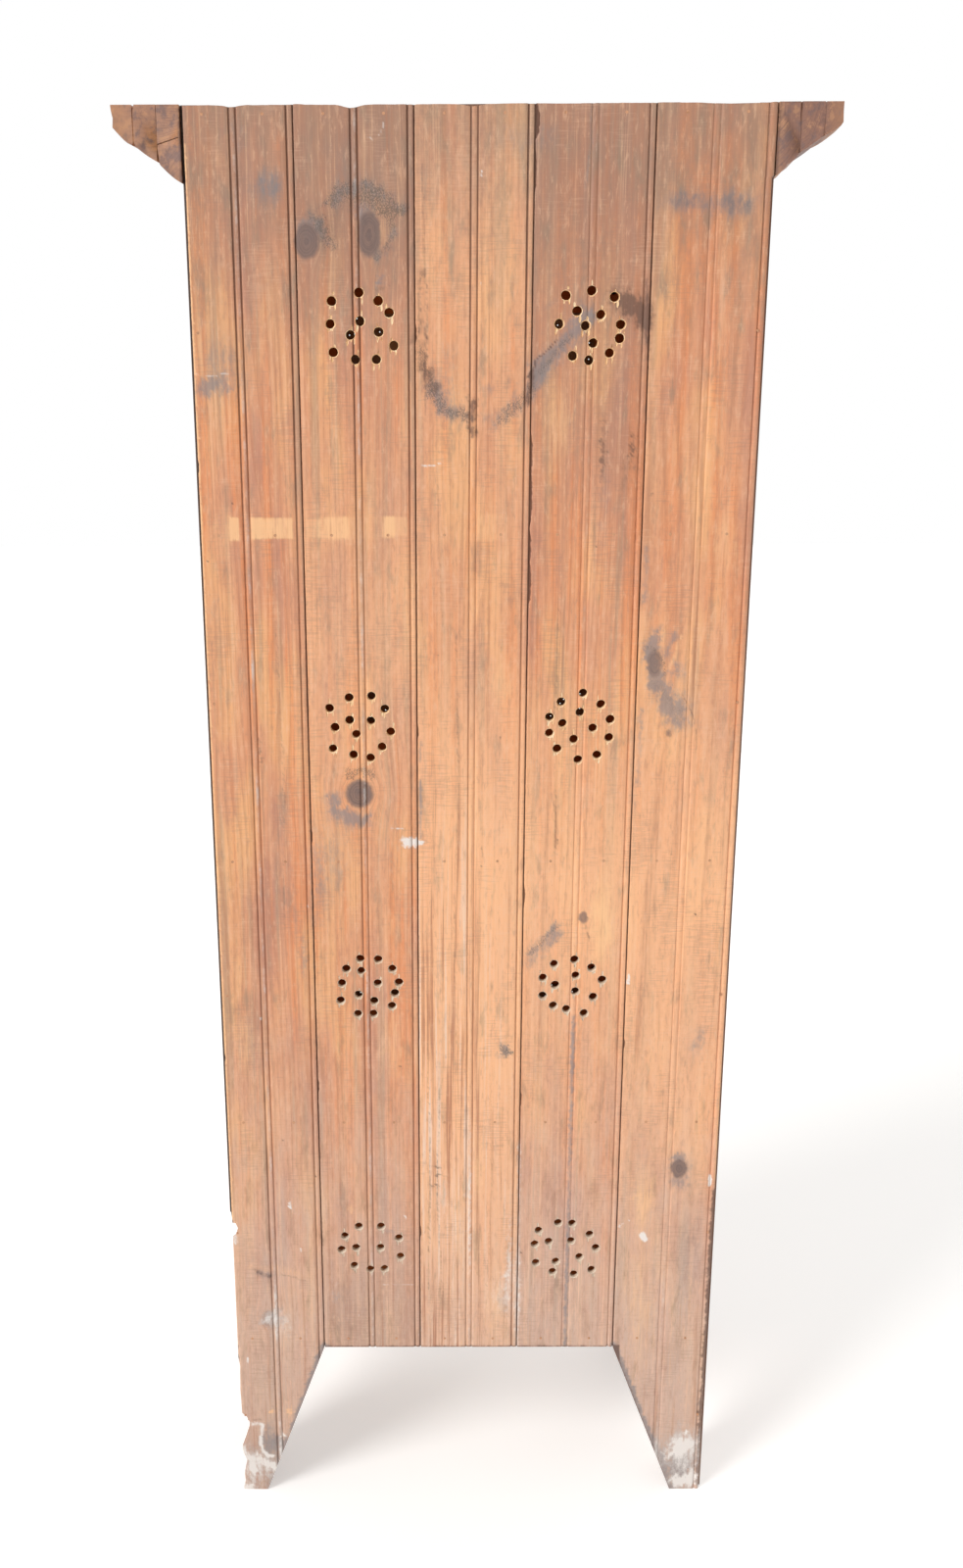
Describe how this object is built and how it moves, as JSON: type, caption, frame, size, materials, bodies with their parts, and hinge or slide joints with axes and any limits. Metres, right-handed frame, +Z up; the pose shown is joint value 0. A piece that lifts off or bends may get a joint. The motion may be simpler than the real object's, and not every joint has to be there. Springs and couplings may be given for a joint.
{
  "type": "pie safe",
  "caption": "Tall narrow pine pie safe with a beaded back with vent holes, cornice, shelves, a hinged door with punched tins and a turn button.",
  "frame": {"origin": "on the floor, at the middle of the whole object's box", "axes": "+Z up, the door faces -Y and the beaded back faces +Y, +X to the right of one who faces the door"},
  "size_m": [0.81, 0.467, 1.83],
  "materials": {
    "beaded_pine": "old stained pine, worn, satin",
    "case_pine": "old stained pine, satin",
    "inside_pine": "bare aged pine, matt",
    "cornice_pine": "old stained pine, satin, pale end grain",
    "door_pine": "old stained pine, satin",
    "punched_tin": "dull tinned sheet, punched, with some rust",
    "turned_wood": "dark handled hardwood",
    "hinge_iron": "dark wrought iron, rubbed",
    "nail_iron": "rusted wire nails"
  },
  "bodies": {
    "case": {"side_plank_left": "case_pine", "side_plank_right": "case_pine", "back_board_1": "beaded_pine", "back_board_2": "beaded_pine", "back_board_3": "beaded_pine", "back_board_4": "beaded_pine", "back_board_5": "beaded_pine", "top_board": "case_pine", "bottom_board": "inside_pine", "shelf_upper": "inside_pine", "shelf_middle": "inside_pine", "shelf_low": "inside_pine", "shelf_cleats": "inside_pine", "frame_stile_left": "case_pine", "frame_stile_right": "case_pine", "frame_top_rail": "case_pine", "frame_apron": "case_pine", "cornice_front_inner": "cornice_pine", "cornice_left_inner": "cornice_pine", "cornice_right_inner": "cornice_pine", "cornice_front_middle": "cornice_pine", "cornice_left_middle": "cornice_pine", "cornice_right_middle": "cornice_pine", "cornice_front_outer": "cornice_pine", "cornice_left_outer": "cornice_pine", "cornice_right_outer": "cornice_pine", "back_nails": "nail_iron", "frame_nails": "nail_iron", "cornice_nails": "nail_iron", "door_stop": "case_pine", "hinge_frame_leaf_upper": "hinge_iron", "hinge_frame_leaf_lower": "hinge_iron", "hinge_pins": "hinge_iron", "hinge_frame_screws": "hinge_iron", "turn_button_screw": "hinge_iron", "turn_button_washer": "hinge_iron"},
    "door": {"door_stile_left": "door_pine", "door_stile_right": "door_pine", "door_rail_1": "door_pine", "door_rail_2": "door_pine", "door_rail_3": "door_pine", "door_rail_4": "door_pine", "door_rail_5": "door_pine", "tin_1": "punched_tin", "tin_2": "punched_tin", "tin_3": "punched_tin", "tin_4": "punched_tin", "tin_strips_1": "door_pine", "tin_strips_2": "door_pine", "tin_strips_3": "door_pine", "tin_strips_4": "door_pine", "strip_brads": "nail_iron", "door_pegs": "door_pine", "door_knob": "turned_wood", "hinge_door_leaf_upper": "hinge_iron", "hinge_door_leaf_lower": "hinge_iron", "hinge_door_screws": "hinge_iron"},
    "button": {"turn_button": "turned_wood"}
  },
  "joints": [
    {"name": "door_hinge", "type": "hinge", "parent": "case", "child": "door", "pos_m": [-0.262, -0.1609, 0.981], "axis": [0, 0, -1], "range_deg": [0, 175]},
    {"name": "button_pivot", "type": "hinge", "parent": "case", "child": "button", "pos_m": [0.285, -0.1635, 1.06], "axis": [0, -1, 0], "continuous": true}
  ]
}
